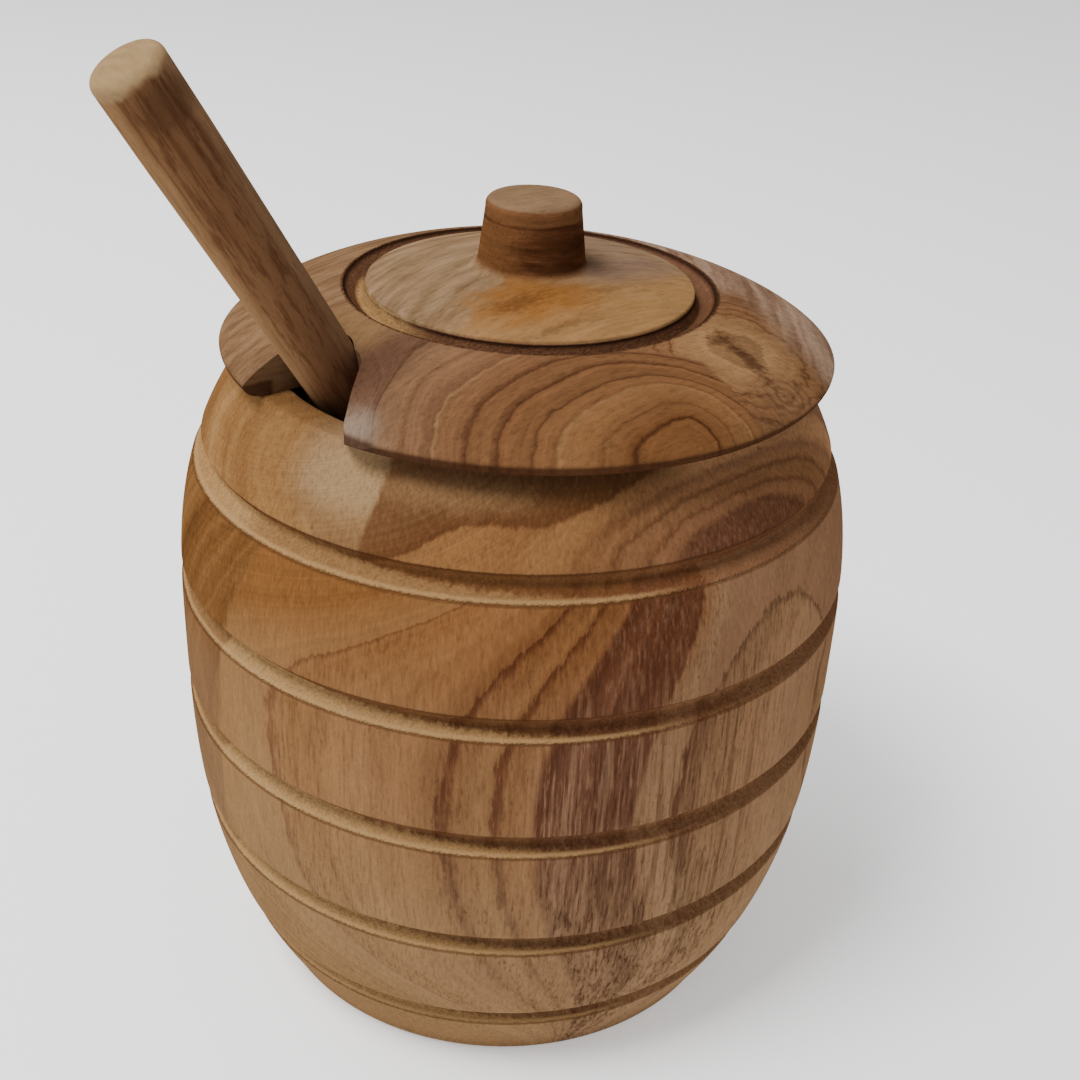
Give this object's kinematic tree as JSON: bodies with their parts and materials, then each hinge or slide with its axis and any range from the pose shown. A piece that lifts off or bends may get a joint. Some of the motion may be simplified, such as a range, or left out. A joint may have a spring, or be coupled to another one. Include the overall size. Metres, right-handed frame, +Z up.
{
  "type": "honey pot",
  "caption": "Turned wooden honey pot: grooved barrel body, loose domed lid with a knob and an edge notch, and a ridged dipper leaning out through the notch",
  "frame": {"origin": "centre of the pot's flat foot, on the pot's turning axis", "axes": "+Z up along the pot's turning axis; -X is the side where the lid's notch opens and the dipper's handle leans out; +Y completes the right-handed frame"},
  "size_m": [0.1162, 0.105, 0.1545],
  "materials": {
    "pot_wood": "sanded and lightly oiled teak, grain upright",
    "lid_wood": "sanded and lightly oiled teak, grain lying flat",
    "dipper_wood": "sanded and lightly oiled teak, grain along the handle"
  },
  "bodies": {
    "pot": {"pot": "pot_wood"},
    "lid": {"lid": "lid_wood"},
    "dipper": {"dipper": "dipper_wood"}
  },
  "joints": [
    {"name": "lid_lift", "type": "slide", "parent": "pot", "child": "lid", "axis": [0, 0, 1], "range_m": [0, 0.06]},
    {"name": "dipper_draw", "type": "slide", "parent": "pot", "child": "dipper", "axis": [-0.518, 0, 0.8554], "range_m": [0, 0.058]}
  ]
}
